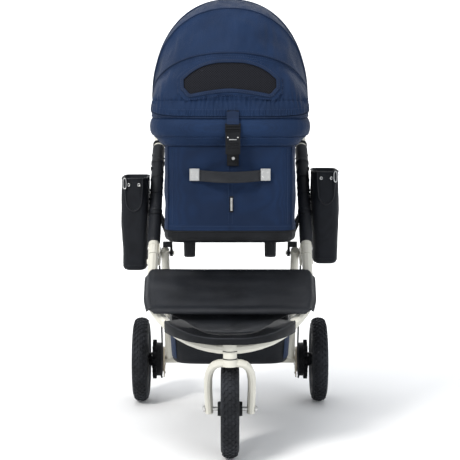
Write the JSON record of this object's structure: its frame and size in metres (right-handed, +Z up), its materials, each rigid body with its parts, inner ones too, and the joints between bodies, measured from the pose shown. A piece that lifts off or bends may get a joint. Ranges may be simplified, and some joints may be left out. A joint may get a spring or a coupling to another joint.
{
  "type": "pet stroller",
  "caption": "Jogger-style pet stroller with a lift-off domed carrier, folding tube frame, swivelling front fork, side pouches and a lower basket.",
  "frame": {"origin": "Centre of the object's footprint on the floor.", "axes": "X runs across the stroller, left to right as seen from the front camera; Y runs from the front wheel to the handle; Z is up."},
  "size_m": [0.5816, 0.9704, 1.1226],
  "materials": {
    "cream_paint": "semi-gloss powder coat",
    "bronze_paint": "satin",
    "steel": "brushed",
    "black_plastic": "fine moulded grain",
    "cable_black": "smooth jacket",
    "black_leatherette": "fine grain leatherette",
    "black_fabric": "woven",
    "navy_fabric": "woven with a soft sheen",
    "window_mesh": "open mesh",
    "tyre_rubber": "knobbly rubber"
  },
  "bodies": {
    "frame": {"main_tube_left": "cream_paint", "main_tube_right": "cream_paint", "tube_sleeve_left": "black_leatherette", "tube_sleeve_right": "black_leatherette", "dock_arm_left": "black_plastic", "dock_arm_right": "black_plastic", "fold_bracket_left": "cream_paint", "fold_bracket_right": "cream_paint", "rear_cross_tube": "cream_paint", "side_bag_left": "black_fabric", "side_bag_right": "black_fabric"},
    "front_frame": {"front_loop": "cream_paint", "footboard": "black_plastic", "foot_mat": "black_leatherette", "apron": "black_leatherette"},
    "rear_frame": {"rear_leg_left": "cream_paint", "rear_leg_right": "cream_paint", "brake_plate_left": "bronze_paint", "brake_plate_right": "bronze_paint", "brake_cable_left": "cable_black", "brake_cable_right": "cable_black", "rear_axle_beam": "cream_paint", "basket": "black_fabric"},
    "parking_pedal": {"parking_pedal": "black_plastic"},
    "fork": {"fork": "cream_paint", "front_axle": "steel"},
    "front_wheel": {"front_tyre": "tyre_rubber", "front_rim": "black_plastic"},
    "rear_wheel_left": {"rear_left_tyre": "tyre_rubber", "rear_left_rim": "black_plastic", "parking_disc_left": "black_plastic"},
    "fold_latch_left": {"fold_latch_left": "black_plastic"},
    "handle_button_left": {"handle_button_left": "black_plastic"},
    "rear_wheel_right": {"rear_right_tyre": "tyre_rubber", "rear_right_rim": "black_plastic", "parking_disc_right": "black_plastic"},
    "fold_latch_right": {"fold_latch_right": "black_plastic"},
    "handle_button_right": {"handle_button_right": "black_plastic"},
    "handle": {"handlebar": "cream_paint", "handle_grip": "black_leatherette", "brake_lever_clamp": "black_plastic"},
    "brake_lever": {"brake_lever": "black_plastic"},
    "carrier": {"carrier_pan": "black_plastic", "carrier_box": "navy_fabric", "bed_cushion": "navy_fabric", "carrier_collar": "navy_fabric", "carry_strap": "black_leatherette", "strap_plate_left": "steel", "strap_plate_right": "steel", "lower_buckle": "black_plastic", "hood_bow_top": "black_plastic", "hood_shell_rear": "navy_fabric"},
    "hood_mid": {"hood_bow_mid": "black_plastic", "hood_panel_top": "navy_fabric"},
    "hood_front": {"hood_bow_front": "black_plastic", "hood_panel_mid": "navy_fabric", "hood_panel_front": "navy_fabric", "window_mesh": "window_mesh", "upper_buckle": "black_plastic"}
  },
  "joints": [
    {"name": "front_fold", "type": "hinge", "parent": "frame", "child": "front_frame", "pos_m": [0, -0.0669, 0.44234], "axis": [1, 0, 0], "range_deg": [0, 32]},
    {"name": "rear_fold", "type": "hinge", "parent": "frame", "child": "rear_frame", "pos_m": [0, -0.03499, 0.46201], "axis": [-1, 0, 0], "range_deg": [0, 28], "deforming": ["basket", "brake_cable_left", "brake_cable_right"]},
    {"name": "swivel", "type": "hinge", "parent": "front_frame", "child": "fork", "pos_m": [0, -0.425, 0.245], "axis": [0, 0, 1], "continuous": true},
    {"name": "front_wheel_spin", "type": "hinge", "parent": "fork", "child": "front_wheel", "pos_m": [0, -0.365, 0.12], "axis": [1, 0, 0], "continuous": true},
    {"name": "parking_pedal_press", "type": "hinge", "parent": "rear_frame", "child": "parking_pedal", "pos_m": [0, 0.255, 0.12], "axis": [-1, 0, 0], "range_deg": [0, 14]},
    {"name": "rear_wheel_spin_left", "type": "hinge", "parent": "rear_frame", "child": "rear_wheel_left", "pos_m": [-0.2535, 0.255, 0.12], "axis": [1, 0, 0], "continuous": true},
    {"name": "fold_latch_turn_left", "type": "hinge", "parent": "frame", "child": "fold_latch_left", "pos_m": [0, -0.03499, 0.46201], "axis": [-1, 0, 0], "range_deg": [0, 20], "stiffness_Nm_per_rad": 0.2, "springref_deg": -17.19},
    {"name": "handle_button_press_left", "type": "slide", "parent": "frame", "child": "handle_button_left", "axis": [-1, 0, 0], "range_m": [0, 0.003], "stiffness_N_per_m": 600, "springref_m": -0.002},
    {"name": "rear_wheel_spin_right", "type": "hinge", "parent": "rear_frame", "child": "rear_wheel_right", "pos_m": [0.2535, 0.255, 0.12], "axis": [1, 0, 0], "continuous": true},
    {"name": "fold_latch_turn_right", "type": "hinge", "parent": "frame", "child": "fold_latch_right", "pos_m": [0, -0.03499, 0.46201], "axis": [-1, 0, 0], "range_deg": [0, 20], "stiffness_Nm_per_rad": 0.2, "springref_deg": -17.19},
    {"name": "handle_button_press_right", "type": "slide", "parent": "frame", "child": "handle_button_right", "axis": [1, 0, 0], "range_m": [0, 0.003], "stiffness_N_per_m": 600, "springref_m": -0.002},
    {"name": "handle_tilt", "type": "hinge", "parent": "frame", "child": "handle", "pos_m": [0, 0.36, 0.89265], "axis": [1, 0, 0], "range_deg": [0, 40]},
    {"name": "brake_lever_squeeze", "type": "hinge", "parent": "handle", "child": "brake_lever", "pos_m": [0.1, 0.432, 1], "axis": [0, 0, -1], "range_deg": [0, 9], "stiffness_Nm_per_rad": 0.8, "springref_deg": -11.46},
    {"name": "carrier_lift", "type": "slide", "parent": "frame", "child": "carrier", "axis": [0, 0, 1], "range_m": [0, 0.35]},
    {"name": "hood_fold", "type": "hinge", "parent": "carrier", "child": "hood_mid", "pos_m": [0, -0.05, 0.864], "axis": [-1, 0, 0], "range_deg": [0, 26], "deforming": ["hood_panel_top"]},
    {"name": "hood_front_fold", "type": "hinge", "parent": "hood_mid", "child": "hood_front", "pos_m": [0, -0.05, 0.864], "axis": [-1, 0, 0], "range_deg": [0, 28.6], "deforming": ["hood_panel_mid"]}
  ],
  "couplings": [
    {"joint": "rear_fold", "follows": "front_fold", "ratio": 0.875},
    {"joint": "hood_front_fold", "follows": "hood_fold", "ratio": 1.1}
  ]
}
